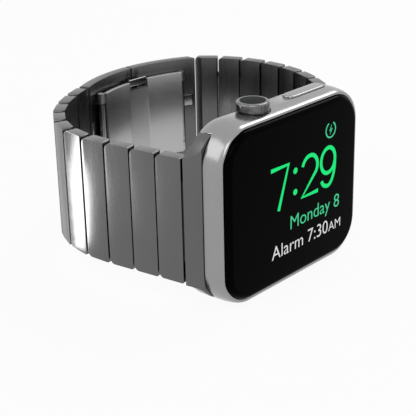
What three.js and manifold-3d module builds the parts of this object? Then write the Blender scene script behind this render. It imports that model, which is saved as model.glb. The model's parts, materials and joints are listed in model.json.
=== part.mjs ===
import * as THREE from 'three';
import { mergeVertices } from 'three/addons/utils/BufferGeometryUtils.js';
import Module from 'manifold-3d';

// A rounded-rectangle smartwatch on a steel link bracelet that closes with a butterfly clasp.
// Millimetres. X runs along the watch's long side and Z across it, with the crown side up. The
// screen faces -Y, and the bracelet loops back towards +Y. The origin is the centre of the
// flat spot on the back crystal, where the watch rests on a wrist.

const wasm = await Module();
wasm.setup();

// Case
const CASE_LENGTH = 42.5;
const CASE_WIDTH = 36.4;
const CASE_CORNER = 7.9;
const CASE_FRONT_Y = -9.9;
const CASE_FULLEST_Y = -5.6;
const CASE_BACK_Y = -1.6;
const FRONT_ROUND = 0.9;
const BACK_ROUND = 2.0;
const ROUND_REACH = 0.97;
const CAVITY = { halfLength: 17.1, halfWidth: 15.4, corner: 7 };
const LEDGE_Y = -9.1;
const FIT = 0.1;

// Glass and display
const GLASS = { halfLength: 19.95, halfWidth: 16.95, corner: 6.6 };
const GLASS_TOP_Y = -10.9;
const GLASS_ROUND = 1.3;

// Controls on the crown side
const CONTROL_Y = -5.6;
const CROWN_X = -6.8;
const CROWN_RADIUS = 3.2;
const CROWN_TOP_Z = 20.0;
const CROWN_TEETH = 36;
const BUTTON_X = 8.7;
const BUTTON_LENGTH = 11.3;
const BUTTON_WIDTH = 2.9;
const BUTTON_TOP_Z = 18.5;

// Band slot and lugs
const SLOT_X = 18.3;
const SLOT_FRONT_Y = -5.9;
const SLOT_BACK_Y = -2.9;
const LUG_HEADING = { left: 108, right: 124 };
const LUG_PIVOT = new THREE.Vector2(-22.5, -2.7);
const LUG_TIP_Z = 16.3;

// Bracelet
const BAND_HALF_WIDTH = 12.5;
const BAND_HALF_THICKNESS = 1.2;
const BAND_ROUND = 1.0;
const PITCH = 5.87;
// How the turning of each side is shared out between its links, from the lug to the clasp.
const LEFT_TURNS = [0, 0, 0.7, 1.6, 2.1, 1.9, 1.5, 1.2, 1];
const RIGHT_TURNS = [0.4, 0.7, 0.9, 1, 1.1, 1.2, 1.3, 1.4];
const SEAM = 0.15;
const OPEN_GAP = 1.1;
const SEAM_RELIEF = 0.4;
const EYE_RADIUS = 0.8;
const EYE_HALF_LENGTH = 7.9;
const BORE_RADIUS = 0.62;
const PIN_RADIUS = 0.45;

// Butterfly clasp, an arc about its own centre, which sits to the right of the watch and leans
// the same way. Angles run from the clasp's middle towards +X.
const CLASP_CENTRE = new THREE.Vector2(11.8, 16.9);
const CLASP_LEAN = 2.5;
const CLASP_RADIUS = 32.6;
const CLASP_HALF_ANGLE = 31.5;
const BLADE_HINGE = { radius: 30.3, angle: 24, barrel: 0.75 };
const COVER_HINGE = { radius: 30.95, angle: 2.4, barrel: 0.6 };
const BLADE = { inner: 30.4, outer: 31.1, halfWidth: 7.5 };
const PLATE = { inner: 29.0, outer: 30.1, halfWidth: 10 };

const steel = (color, roughness) =>
  new THREE.MeshStandardMaterial({ color, roughness, metalness: 1 });
const plain = (color, roughness) =>
  new THREE.MeshStandardMaterial({ color, roughness, metalness: 0 });

const radians = THREE.MathUtils.degToRad;

// ---- solids ----------------------------------------------------------------

function solid(geometry) {
  const bare = geometry.clone();
  bare.deleteAttribute('normal');
  bare.deleteAttribute('uv');
  const merged = mergeVertices(bare, 1e-5);
  const position = merged.attributes.position;
  const index = Array.from(merged.index.array);
  if (signedVolume(position, index) < 0) {
    index.reverse();
  }
  return new wasm.Manifold(new wasm.Mesh({
    numProp: 3,
    vertProperties: new Float32Array(position.array),
    triVerts: new Uint32Array(index),
  }));
}

function signedVolume(position, index) {
  const [a, b, c] = [new THREE.Vector3(), new THREE.Vector3(), new THREE.Vector3()];
  let volume = 0;
  for (let i = 0; i < index.length; i += 3) {
    a.fromBufferAttribute(position, index[i]);
    b.fromBufferAttribute(position, index[i + 1]);
    c.fromBufferAttribute(position, index[i + 2]);
    volume += a.dot(b.cross(c)) / 6;
  }
  return volume;
}

function part(name, shape, material) {
  const made = shape.getMesh();
  const geometry = new THREE.BufferGeometry();
  geometry.setAttribute('position', new THREE.BufferAttribute(made.vertProperties, 3));
  geometry.setIndex(new THREE.BufferAttribute(made.triVerts, 1));
  geometry.computeVertexNormals();
  const mesh = new THREE.Mesh(geometry, material);
  mesh.name = name;
  return mesh;
}

function box(x0, x1, y0, y1, z0, z1) {
  const geometry = new THREE.BoxGeometry(x1 - x0, y1 - y0, z1 - z0);
  geometry.translate((x0 + x1) / 2, (y0 + y1) / 2, (z0 + z1) / 2);
  return solid(geometry);
}

function rod(x, y, z0, z1, radius, sides = 12) {
  const geometry = new THREE.CylinderGeometry(radius, radius, z1 - z0, sides);
  geometry.rotateX(Math.PI / 2);
  geometry.translate(x, y, (z0 + z1) / 2);
  return solid(geometry);
}

function prism(shape, z0, z1, curveSegments = 6) {
  const geometry = new THREE.ExtrudeGeometry(shape, {
    depth: z1 - z0,
    bevelEnabled: false,
    curveSegments,
  });
  geometry.translate(0, 0, z0);
  return solid(geometry);
}

// A pill standing along Y, its length along X or along Z.
function pill(x, z, length, width, y0, y1, alongZ = false) {
  const straight = (length - width) / 2;
  const shape = new THREE.Shape();
  shape.absarc(straight, 0, width / 2, -Math.PI / 2, Math.PI / 2);
  shape.absarc(-straight, 0, width / 2, Math.PI / 2, 1.5 * Math.PI);
  const geometry = new THREE.ExtrudeGeometry(shape, {
    depth: y1 - y0,
    bevelEnabled: false,
    curveSegments: 8,
  });
  if (alongZ) {
    geometry.rotateZ(Math.PI / 2);
  }
  geometry.rotateX(Math.PI / 2);
  geometry.translate(x, y1, z);
  return solid(geometry);
}

function turned(profile, x, y, sides = 40) {
  const points = profile.map(([r, z]) => new THREE.Vector2(r, z));
  const geometry = new THREE.LatheGeometry(points, sides);
  geometry.rotateX(Math.PI / 2);
  geometry.translate(x, y, 0);
  return solid(geometry);
}

// One ring of points per station, all with the same count, joined into a closed skin.
function loft(rings) {
  const count = rings[0].length;
  const corners = rings.flat();
  const faces = [];
  for (let r = 0; r + 1 < rings.length; r += 1) {
    for (let i = 0; i < count; i += 1) {
      const a = r * count + i;
      const b = r * count + (i + 1) % count;
      faces.push(a, b, b + count, a, b + count, a + count);
    }
  }
  for (const [ring, turn] of [[0, 1], [rings.length - 1, 0]]) {
    const middle = new THREE.Vector3();
    rings[ring].forEach((p) => middle.addScaledVector(p, 1 / count));
    const centre = corners.push(middle) - 1;
    for (let i = 0; i < count; i += 1) {
      const a = ring * count + i;
      const b = ring * count + (i + 1) % count;
      faces.push(centre, turn ? b : a, turn ? a : b);
    }
  }
  const geometry = new THREE.BufferGeometry().setFromPoints(corners);
  geometry.setIndex(faces);
  return solid(geometry);
}

// A rounded rectangle in a plane of constant Y.
function roundedRing({ halfLength, halfWidth, corner }, y, steps = 7) {
  const ring = [];
  const centres = [[1, 1], [-1, 1], [-1, -1], [1, -1]];
  centres.forEach(([sx, sz], quarter) => {
    for (let i = 0; i <= steps; i += 1) {
      const turn = (quarter + i / steps) * (Math.PI / 2);
      ring.push(new THREE.Vector3(
        sx * (halfLength - corner) + corner * Math.cos(turn),
        y,
        sz * (halfWidth - corner) + corner * Math.sin(turn),
      ));
    }
  });
  return ring;
}

function slab(outline, y0, y1, steps) {
  return loft([roundedRing(outline, y0, steps), roundedRing(outline, y1, steps)]);
}

const shrink = ({ halfLength, halfWidth, corner }, by) => ({
  halfLength: halfLength - by,
  halfWidth: halfWidth - by,
  corner: corner - by,
});

// ---- case ------------------------------------------------------------------

const caseOutline = {
  halfLength: CASE_LENGTH / 2,
  halfWidth: CASE_WIDTH / 2,
  corner: CASE_CORNER,
};

// How far the side wall has drawn in at a height, an ellipse in front of the fullest line and
// a rounder one behind it.
function drawnIn(y) {
  const front = y < CASE_FULLEST_Y;
  const span = front ? CASE_FULLEST_Y - CASE_FRONT_Y : CASE_BACK_Y - CASE_FULLEST_Y;
  const along = (ROUND_REACH * Math.abs(y - CASE_FULLEST_Y)) / span;
  return (front ? FRONT_ROUND : BACK_ROUND) * (1 - Math.sqrt(1 - along * along));
}

function caseHousing() {
  const stations = [0, 0.07, 0.16, 0.3, 0.54, 0.72, 0.84, 0.92, 0.97, 1];
  const rings = stations.map((t) => {
    const y = THREE.MathUtils.lerp(CASE_FRONT_Y, CASE_BACK_Y, t);
    return roundedRing(shrink(caseOutline, drawnIn(y)), y);
  });
  let body = loft(rings);
  body = body.subtract(slab(CAVITY, LEDGE_Y - 2, CASE_BACK_Y + 1, 5));
  body = body.subtract(slab(shrink(GLASS, -FIT), CASE_FRONT_Y - 1, LEDGE_Y));
  body = body.subtract(rod(CROWN_X, CONTROL_Y, 17.3, 22, CROWN_RADIUS + 0.25, 28));
  body = body.subtract(rod(CROWN_X, CONTROL_Y, 14, 22, 1.95, 20));
  body = body.subtract(
    prismAlongZPill(BUTTON_X, CONTROL_Y, BUTTON_LENGTH + 0.3, BUTTON_WIDTH + 0.3, 14, 22));
  for (const side of [-1, 1]) {
    const [x0, x1] = [SLOT_X * side, 25 * side].sort((a, b) => a - b);
    body = body.subtract(box(x0, x1, SLOT_FRONT_Y, SLOT_BACK_Y, -17, 17));
    body = body.subtract(pill(18.2 * side, 0, 7.3, 1.7, -4.5, 0, true));
  }
  for (const x of [-11, -5]) {
    body = body.subtract(prismAlongZPill(x, CONTROL_Y, 4.6, 1.1, -20, -14));
  }
  return body.subtract(rod(11.8, CONTROL_Y, -20, -13.5, 0.55));
}

// A pill whose outline lies in a plane of constant Z, its length along X.
function prismAlongZPill(x, y, length, width, z0, z1) {
  const straight = (length - width) / 2;
  const shape = new THREE.Shape();
  shape.absarc(x + straight, y, width / 2, -Math.PI / 2, Math.PI / 2);
  shape.absarc(x - straight, y, width / 2, Math.PI / 2, 1.5 * Math.PI);
  return prism(shape, z0, z1, 8);
}

function coverGlass() {
  const rings = [roundedRing(shrink(GLASS, 0.35), LEDGE_Y - 0.3)];
  rings.push(roundedRing(shrink(GLASS, 0.05), LEDGE_Y - 0.5));
  for (const t of [0, 0.25, 0.5, 0.75, 1]) {
    const turn = t * radians(78);
    rings.push(roundedRing(
      shrink(GLASS, GLASS_ROUND * (1 - Math.cos(turn))),
      GLASS_TOP_Y + GLASS_ROUND * (1 - Math.sin(turn)) * 0.9,
    ));
  }
  rings.push(roundedRing(shrink(GLASS, GLASS_ROUND), GLASS_TOP_Y));
  return loft(rings);
}

function glassSeal() {
  const outer = slab(shrink(GLASS, 0.3), LEDGE_Y - 0.25, LEDGE_Y - 0.02);
  return outer.subtract(slab(shrink(GLASS, 1.35), LEDGE_Y - 1, LEDGE_Y + 1));
}

const displayPanel = () =>
  slab({ halfLength: 16.9, halfWidth: 15.2, corner: 6.8 }, LEDGE_Y - 0.2, -8.3, 5);

function logicBoard() {
  const board = slab({ halfLength: 16.6, halfWidth: 14.9, corner: 6.6 }, -8.0, -6.9, 5);
  return board.subtract(box(-20, 20, -9, -6, 9.7, 20));
}

// The ceramic back sits in the rear opening, with a stepped rim inside the case.
function backCover() {
  const rim = slab(shrink(CAVITY, 0.15), -2.6, CASE_BACK_Y, 5);
  const crowned = loft([
    roundedRing(shrink(CAVITY, 0.15), CASE_BACK_Y - 0.05, 5),
    roundedRing(shrink(CAVITY, 0.25), -1.45, 5),
    roundedRing(shrink(CAVITY, 0.75), -1.05, 5),
    roundedRing(shrink(CAVITY, 1.7), -0.8, 5),
  ]);
  const hole = turned([[0, -4], [12.75, -4], [12.75, 1], [0, 1]], 0, 0, 40);
  return rim.add(crowned).subtract(aboutY(hole));
}

// Turns a solid whose axis is Z so that its axis is Y, with the same heights.
function aboutY(shape) {
  const made = shape.getMesh();
  const geometry = new THREE.BufferGeometry();
  geometry.setAttribute('position', new THREE.BufferAttribute(made.vertProperties, 3));
  geometry.setIndex(new THREE.BufferAttribute(made.triVerts, 1));
  geometry.rotateX(-Math.PI / 2);
  return solid(geometry);
}

const discOnBack = (profile, sides) => aboutY(turned(profile, 0, 0, sides));

function backCrystal() {
  return discOnBack([
    [0, -1.8], [12.1, -1.8], [12.5, -1.55], [12.5, -0.95], [12.1, -0.66],
    [11, -0.38], [9.3, -0.14], [7.4, 0], [0, 0],
  ], 40);
}

const chargingCoil = () => discOnBack(
  [[7.4, -2.75], [11.6, -2.75], [11.6, -2.05], [7.4, -2.05], [7.4, -2.75]], 32);
const sensorBoard = () => discOnBack([[0, -2.75], [6.8, -2.75], [6.8, -2.05], [0, -2.05]], 24);

// ---- crown and side button -------------------------------------------------

function crownCap() {
  const skirt = 17.9;
  const body = turned([
    [0, skirt], [CROWN_RADIUS - 0.25, skirt], [CROWN_RADIUS, skirt + 0.3],
    [CROWN_RADIUS, CROWN_TOP_Z - 0.45], [CROWN_RADIUS - 0.14, CROWN_TOP_Z - 0.16],
    [CROWN_RADIUS - 0.45, CROWN_TOP_Z], [2.55, CROWN_TOP_Z], [2.55, CROWN_TOP_Z - 0.4],
    [1.1, CROWN_TOP_Z - 0.4], [1.1, skirt + 1.2], [0, skirt + 1.2],
  ], CROWN_X, CONTROL_Y, CROWN_TEETH);
  return body.subtract(rod(CROWN_X, CONTROL_Y, skirt - 1, skirt + 1.5, 1.1, 16));
}

const crownDisc = () => turned([
  [0, CROWN_TOP_Z - 0.3], [2.45, CROWN_TOP_Z - 0.3],
  [2.45, CROWN_TOP_Z - 0.08], [2.3, CROWN_TOP_Z], [0, CROWN_TOP_Z],
], CROWN_X, CONTROL_Y, 32);

const crownShaft = () => turned([
  [0, 10.6], [1.0, 10.6], [1.0, 19.0], [0, 19.0],
], CROWN_X, CONTROL_Y, 16);

const ringAroundCrown = (inner, outer, z0, z1) => turned(
  [[inner, z0], [outer, z0], [outer, z1], [inner, z1], [inner, z0]], CROWN_X, CONTROL_Y, 20);

function crownEncoder() {
  const block = box(CROWN_X - 3, CROWN_X + 3, CONTROL_Y - 2, CONTROL_Y + 2, 10.2, 12.4);
  return block.subtract(rod(CROWN_X, CONTROL_Y, 10, 13, 1.25, 16));
}

function sideButton() {
  const cap = prismAlongZPill(
    BUTTON_X, CONTROL_Y, BUTTON_LENGTH - 0.3, BUTTON_WIDTH - 0.3, 16.6, BUTTON_TOP_Z);
  const skirt = prismAlongZPill(
    BUTTON_X, CONTROL_Y, BUTTON_LENGTH, BUTTON_WIDTH, 16.6, BUTTON_TOP_Z - 0.18);
  return cap.add(skirt).add(box(BUTTON_X - 1, BUTTON_X + 1, CONTROL_Y - 0.8, CONTROL_Y + 0.8,
    15.0, 16.8));
}

// ---- lugs ------------------------------------------------------------------

const along = (heading) => new THREE.Vector2(Math.cos(radians(heading)), Math.sin(radians(heading)));

// The seam end of a piece whose pivot is at the origin of a frame running along the band:
// square at the outer face and eased back towards the wrist, so that the band can curl.
function seamEnd(pivot, heading, toward) {
  const d = along(heading);
  const n = along(heading + 90);
  const point = (step, out) =>
    pivot.clone().addScaledVector(d, step * toward).addScaledVector(n, out);
  return [
    point(SEAM, BAND_HALF_THICKNESS),
    point(SEAM, -0.3),
    point(SEAM_RELIEF, -BAND_HALF_THICKNESS),
  ];
}

function lug(side) {
  const heading = side < 0 ? LUG_HEADING.left : LUG_HEADING.right;
  const [outer, middle, inner] = seamEnd(LUG_PIVOT, heading, -1);
  const plan = new THREE.Shape();
  plan.moveTo(-SLOT_X - 0.2, SLOT_FRONT_Y + 0.15);
  plan.lineTo(-21.2, SLOT_FRONT_Y + 0.15);
  plan.quadraticCurveTo(-22.6, -5.25, outer.x, outer.y);
  plan.lineTo(middle.x, middle.y);
  plan.lineTo(inner.x, inner.y);
  plan.lineTo(-20.9, SLOT_BACK_Y - 0.15);
  plan.lineTo(-SLOT_X - 0.2, SLOT_BACK_Y - 0.15);
  plan.closePath();
  const face = new THREE.Shape();
  face.moveTo(-SLOT_X, LUG_TIP_Z);
  face.bezierCurveTo(-20.6, 15.8, -21.2, 12.9, -24.6, BAND_HALF_WIDTH);
  face.lineTo(-24.6, -BAND_HALF_WIDTH);
  face.bezierCurveTo(-21.2, -12.9, -20.6, -15.8, -SLOT_X, -LUG_TIP_Z);
  face.closePath();
  const outline = new THREE.ExtrudeGeometry(face, {
    depth: 12,
    bevelEnabled: false,
    curveSegments: 10,
  });
  outline.rotateX(Math.PI / 2);
  let body = prism(plan, -17, 17, 8).intersect(solid(outline));
  body = body.subtract(box(-19.3, -18, -5, -3, -3.9, 3.9));
  body = socket(body, LUG_PIVOT.x, LUG_PIVOT.y);
  return side < 0 ? body : mirrored(body);
}

function mirrored(shape) {
  const made = shape.getMesh();
  const flipped = new Float32Array(made.vertProperties);
  for (let i = 0; i < flipped.length; i += 3) {
    flipped[i] = -flipped[i];
  }
  const geometry = new THREE.BufferGeometry();
  geometry.setAttribute('position', new THREE.BufferAttribute(flipped, 3));
  geometry.setIndex(new THREE.BufferAttribute(made.triVerts, 1));
  return solid(geometry);
}

// ---- bracelet --------------------------------------------------------------

// The eye of a hinge: a barrel with a bore, at the near end of a link.
function eye(body, x, y) {
  const barrel = rod(x, y, -EYE_HALF_LENGTH, EYE_HALF_LENGTH, EYE_RADIUS, 16);
  return body.add(barrel).subtract(rod(x, y, -8.9, 8.9, BORE_RADIUS));
}

// The other half: a pocket for the eye, crossed by a pin that is pressed into both cheeks.
function socket(body, x, y) {
  const pocket = rod(x, y, -EYE_HALF_LENGTH - 0.3, EYE_HALF_LENGTH + 0.3, 1.0);
  return body.subtract(pocket).add(rod(x, y, -8.7, 8.7, PIN_RADIUS));
}

// The band's cross-section, its outer edges rounded: points of (outwards, Z).
function bandSection() {
  const [t, w, r] = [BAND_HALF_THICKNESS, BAND_HALF_WIDTH, BAND_ROUND];
  const points = [[-t, w - 0.2], [-t, -w + 0.2], [-t + 0.2, -w]];
  for (const [turn, sign] of [[-90, -1], [0, 1]]) {
    for (let i = 0; i <= 3; i += 1) {
      const a = radians(turn + i * 30);
      points.push([t - r + r * Math.cos(a), sign * (w - r) + r * Math.sin(a)]);
    }
  }
  points.push([-t + 0.2, w]);
  return points;
}

function straightBand(x0, x1) {
  return loft([x0, x1].map((x) => bandSection().map(([n, z]) => new THREE.Vector3(x, n, z))));
}

function link(last) {
  const far = last ? openEnd() : seamEnd(new THREE.Vector2(PITCH, 0), 0, -1);
  const plan = new THREE.Shape([
    ...seamEnd(new THREE.Vector2(0, 0), 0, 1),
    ...far.reverse(),
  ]);
  let body = straightBand(0, PITCH + 3).intersect(prism(plan, -13, 13));
  body = eye(body, 0, 0);
  return last ? body : socket(body, PITCH, 0);
}

// The last right-hand link has a slanted end, which stays clear of the clasp's swing.
function openEnd() {
  const middle = PITCH - (OPEN_GAP * 0.35) / Math.cos(OPEN_SLANT);
  const lean = BAND_HALF_THICKNESS * Math.tan(OPEN_SLANT);
  return [
    new THREE.Vector2(middle + lean, BAND_HALF_THICKNESS),
    new THREE.Vector2(middle - lean, -BAND_HALF_THICKNESS),
  ];
}

// A chain of links between two pivots. More turning draws its ends closer together, so the
// total turn that just spans the gap is found by halving.
function hangChain(start, end, turns, sense) {
  const whole = turns.reduce((sum, turn) => sum + turn, 0);
  const shape = (total) => {
    const pivots = [new THREE.Vector2(0, 0)];
    let heading = 0;
    for (const turn of [0, ...turns]) {
      heading += (sense * total * turn) / whole;
      pivots.push(pivots.at(-1).clone().addScaledVector(along(heading), PITCH));
    }
    return pivots;
  };
  const gap = end.clone().sub(start);
  let [low, high] = [0, 200];
  for (let i = 0; i < 40; i += 1) {
    const middle = (low + high) / 2;
    if (shape(middle).at(-1).length() > gap.length()) {
      low = middle;
    } else {
      high = middle;
    }
  }
  const pivots = shape(low);
  const swing = gap.angle() - pivots.at(-1).angle();
  return pivots.map((p) => p.rotateAround(new THREE.Vector2(0, 0), swing).add(start));
}

const onClasp = (radius, degrees) => new THREE.Vector2(
  radius * Math.sin(radians(degrees)), radius * Math.cos(radians(degrees)));

const claspLeftPivot = onClasp(CLASP_RADIUS, CLASP_LEAN - CLASP_HALF_ANGLE).add(CLASP_CENTRE);
const claspRightPivot = onClasp(CLASP_RADIUS, CLASP_LEAN + CLASP_HALF_ANGLE).add(CLASP_CENTRE);
const rightLugPivot = new THREE.Vector2(-LUG_PIVOT.x, LUG_PIVOT.y);

const leftPivots = hangChain(LUG_PIVOT, claspLeftPivot, LEFT_TURNS, -1);
const rightPivots = hangChain(rightLugPivot, claspRightPivot, RIGHT_TURNS, 1);

// The slant of the last seam from square, so that it runs straight out of the clasp.
const lastHeading = rightPivots.at(-1).clone().sub(rightPivots.at(-2)).angle();
const OPEN_SLANT = Math.PI - radians(CLASP_LEAN) - lastHeading;

const steelLink = steel(0xa6a7a9, 0.34);

function chain(side, pivots) {
  const group = new THREE.Group();
  for (let i = 0; i + 1 < pivots.length; i += 1) {
    const frame = new THREE.Group();
    frame.name = `${side}_pivot_${i + 1}`;
    frame.position.set(pivots[i].x, pivots[i].y, 0);
    frame.rotation.z = pivots[i + 1].clone().sub(pivots[i]).angle();
    const last = side === 'right' && i + 2 === pivots.length;
    const mesh = part(`link_${side}_${i + 1}`, link(last), steelLink);
    if (side === 'right') {
      mesh.rotation.x = Math.PI;
    }
    frame.add(mesh);
    group.add(frame);
  }
  return group;
}

// ---- clasp -----------------------------------------------------------------

function curvedBand(from, to) {
  const rings = [];
  const steps = 8;
  for (let i = 0; i <= steps; i += 1) {
    const angle = THREE.MathUtils.lerp(from, to, i / steps);
    rings.push(bandSection().map(([n, z]) => {
      const p = onClasp(CLASP_RADIUS + n, angle);
      return new THREE.Vector3(p.x, p.y, z);
    }));
  }
  return loft(rings);
}

function sector(inner, outer, from, to, halfWidth) {
  const shape = new THREE.Shape();
  const [a, b] = [Math.PI / 2 - radians(from), Math.PI / 2 - radians(to)];
  shape.absarc(0, 0, outer, a, b, true);
  shape.absarc(0, 0, inner, b, a, false);
  shape.closePath();
  return prism(shape, -halfWidth, halfWidth, 10);
}

// Two ears either side of a barrel, with the pin across them.
function ears(body, at, barrel, from, to) {
  const gap = rod(at.x, at.y, -BLADE.halfWidth - 0.2, BLADE.halfWidth + 0.2, barrel + 0.2, 16);
  return body
    .subtract(gap)
    .add(rod(at.x, at.y, from, to, barrel, 16))
    .add(rod(at.x, at.y, -to, -from, barrel, 16))
    .add(rod(at.x, at.y, -from - 0.2, from + 0.2, barrel * 0.5));
}

const coverHingeAt = (side) => onClasp(COVER_HINGE.radius, side * COVER_HINGE.angle);
const bladeHingeAt = (side) => onClasp(BLADE_HINGE.radius, side * BLADE_HINGE.angle);

function claspCover(side) {
  const seamTurn = THREE.MathUtils.radToDeg(SEAM / CLASP_RADIUS);
  let body = side < 0
    ? curvedBand(-CLASP_HALF_ANGLE + seamTurn, -seamTurn)
    : curvedBand(seamTurn, CLASP_HALF_ANGLE + 3);
  if (side < 0) {
    const near = onClasp(CLASP_RADIUS, -CLASP_HALF_ANGLE);
    body = eye(body, near.x, near.y);
  } else {
    const end = onClasp(CLASP_RADIUS, CLASP_HALF_ANGLE).x - OPEN_GAP * 0.65;
    body = body.subtract(box(end, end + 5, 20, 36, -13, 13));
  }
  body = ears(body, coverHingeAt(side), COVER_HINGE.barrel, BLADE.halfWidth + 0.2, 9.3);
  return body.subtract(releasePocket(side));
}

function claspBlade(side) {
  const turns = [side * (COVER_HINGE.angle + 0.3), side * (BLADE_HINGE.angle - 0.6)];
  const [from, to] = turns.sort((a, b) => a - b);
  const [cover, base] = [coverHingeAt(side), bladeHingeAt(side)];
  const wide = BLADE.halfWidth;
  return sector(BLADE.inner, BLADE.outer, from, to, wide)
    .add(rod(cover.x, cover.y, -wide, wide, COVER_HINGE.barrel, 16))
    .add(rod(base.x, base.y, -wide, wide, BLADE_HINGE.barrel, 16))
    .subtract(rod(cover.x, cover.y, -9, 9, COVER_HINGE.barrel * 0.5 + 0.12))
    .subtract(rod(base.x, base.y, -9, 9, BLADE_HINGE.barrel * 0.5 + 0.13));
}

function claspPlate() {
  const reach = BLADE_HINGE.angle - 0.6;
  let body = sector(PLATE.inner, PLATE.outer, -reach, reach, PLATE.halfWidth);
  for (const side of [-1, 1]) {
    body = ears(body, bladeHingeAt(side), BLADE_HINGE.barrel, BLADE.halfWidth + 0.2, 9.9);
    const [z0, z1] = [8 * side, 11 * side].sort((a, b) => a - b);
    body = body.subtract(box(-2.7, 2.7, 28, 31, z0, z1));
  }
  return body;
}

function claspButton(side) {
  const [z0, z1] = [8.9 * side, 10.5 * side].sort((a, b) => a - b);
  return box(-2.5, 2.5, 29.15, 29.95, z0, z1);
}

// A small rectangular key in the wrist side of a cover, in a pocket of its own.
function keyBlock(side, tangential, z0, z1, r0, r1) {
  const geometry = new THREE.BoxGeometry(tangential, r1 - r0, z1 - z0);
  geometry.translate(0, (r0 + r1) / 2, (z0 + z1) / 2);
  geometry.rotateZ(-radians(side * 27.8));
  return solid(geometry);
}

const releasePocket = (side) => keyBlock(side, 2.5, 0.65, 3.65, 31.0, 32.5);
const releaseKey = (side) => keyBlock(side, 2.2, 0.8, 3.5, 31.35, 32.05);

// ---- assembly --------------------------------------------------------------

const watch = new THREE.Group();
const polished = steel(0xc4c5c7, 0.14);
const brushed = steel(0xa6a7a9, 0.34);
const black = plain(0x050506, 0.1);
const board = plain(0x1d5a3a, 0.55);

watch.add(
  part('case_housing', caseHousing(), polished),
  part('cover_glass', coverGlass(), black),
  part('glass_seal', glassSeal(), plain(0x141414, 0.8)),
  part('display_panel', displayPanel(), plain(0x101114, 0.4)),
  part('back_cover', backCover(), plain(0x1b1b1d, 0.3)),
  part('back_crystal', backCrystal(), plain(0x0c0d10, 0.08)),
  part('sensor_board', sensorBoard(), board),
  part('charging_coil', chargingCoil(), plain(0xb46a3c, 0.4)),
  part('logic_board', logicBoard(), board),
  part('battery', box(-4.6, 10.2, -6.6, -3.05, -14.4, 9.4), plain(0x2a2c30, 0.5)),
  part('haptic_motor', box(-16.2, -5.2, -6.6, -3.1, -5.6, 8.6), steel(0x9a9b9d, 0.4)),
  part('speaker', box(-12.4, -5.2, -6.6, -3.6, -14.6, -6.2), plain(0x202124, 0.6)),
  part('microphone', box(10.6, 13, -6.6, -5.2, -14.1, -11.4), steel(0xb8a15e, 0.4)),
);

watch.add(
  part('crown_bush', ringAroundCrown(1.2, 1.8, 15.6, 17.2), plain(0x19191a, 0.5)),
  part('crown_clip', ringAroundCrown(1.15, 1.9, 13.4, 14.0), steel(0x8d8e90, 0.4)),
  part('crown_cap', crownCap(), polished),
  part('crown_disc', crownDisc(), plain(0x3b3d40, 0.3)),
  part('crown_shaft', crownShaft(), steel(0x8d8e90, 0.3)),
  part('crown_encoder', crownEncoder(), plain(0x242528, 0.6)),
  part('side_button', sideButton(), polished),
  part('side_switch', box(BUTTON_X - 2.2, BUTTON_X + 2.2, -7.2, -4, 13.2, 14.4),
    plain(0x242528, 0.6)),
);

for (const [name, side] of [['left', -1], ['right', 1]]) {
  watch.add(
    part(`lug_${name}`, lug(side), polished),
    part(`band_release_${name}`, pill(18.2 * side, 0, 7, 1.4, -3.6, -1.75, true), polished),
  );
}

watch.add(chain('left', leftPivots), chain('right', rightPivots));

const clasp = new THREE.Group();
clasp.name = 'clasp';
clasp.position.set(CLASP_CENTRE.x, CLASP_CENTRE.y, 0);
clasp.rotation.z = -radians(CLASP_LEAN);
for (const [name, side] of [['left', -1], ['right', 1]]) {
  clasp.add(
    part(`clasp_cover_${name}`, claspCover(side), brushed),
    part(`clasp_blade_${name}`, claspBlade(side), polished),
    part(`link_release_${name}`, releaseKey(side), polished),
  );
}
clasp.add(
  part('clasp_plate', claspPlate(), polished),
  part('clasp_button_top', claspButton(1), polished),
  part('clasp_button_bottom', claspButton(-1), polished),
);
watch.add(clasp);

export default watch;
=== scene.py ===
import json
import math
from contextlib import contextmanager

import bmesh
import bpy
from mathutils import Matrix, Quaternion, Vector


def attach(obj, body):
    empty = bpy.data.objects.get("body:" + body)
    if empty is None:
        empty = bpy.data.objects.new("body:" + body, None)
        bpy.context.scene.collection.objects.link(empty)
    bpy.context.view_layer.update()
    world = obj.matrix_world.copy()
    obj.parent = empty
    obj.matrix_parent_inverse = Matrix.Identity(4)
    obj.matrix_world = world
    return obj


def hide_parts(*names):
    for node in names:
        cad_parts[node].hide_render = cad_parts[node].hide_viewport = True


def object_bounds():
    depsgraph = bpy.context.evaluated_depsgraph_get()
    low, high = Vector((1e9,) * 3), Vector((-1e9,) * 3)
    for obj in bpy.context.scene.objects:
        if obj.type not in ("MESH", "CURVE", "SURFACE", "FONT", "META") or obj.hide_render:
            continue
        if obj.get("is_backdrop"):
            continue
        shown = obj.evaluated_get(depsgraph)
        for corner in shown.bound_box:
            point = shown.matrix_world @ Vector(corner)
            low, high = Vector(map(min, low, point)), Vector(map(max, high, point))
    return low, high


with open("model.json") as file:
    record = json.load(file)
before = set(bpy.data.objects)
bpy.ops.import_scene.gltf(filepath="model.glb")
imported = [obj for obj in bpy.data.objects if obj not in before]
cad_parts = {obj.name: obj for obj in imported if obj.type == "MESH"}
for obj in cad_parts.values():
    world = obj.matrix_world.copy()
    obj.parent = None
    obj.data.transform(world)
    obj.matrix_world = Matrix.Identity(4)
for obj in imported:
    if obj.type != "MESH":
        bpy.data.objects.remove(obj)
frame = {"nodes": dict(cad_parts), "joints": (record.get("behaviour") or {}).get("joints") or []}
cad_low, cad_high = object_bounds()

# A rounded-rectangle smartwatch on a steel link bracelet with a butterfly clasp. X runs along
# the case's long side, the screen faces -Y, and the crown is on the +Z side. Pieces are worked
# in millimetres, as on a bench, and are brought to metres when they are fitted to the frame.

# ---- View -----------------------------------------------------------------------------------
# The watch is seen from its band side and from above, through a long lens that stands level
# with the case and frames it low.

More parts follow.
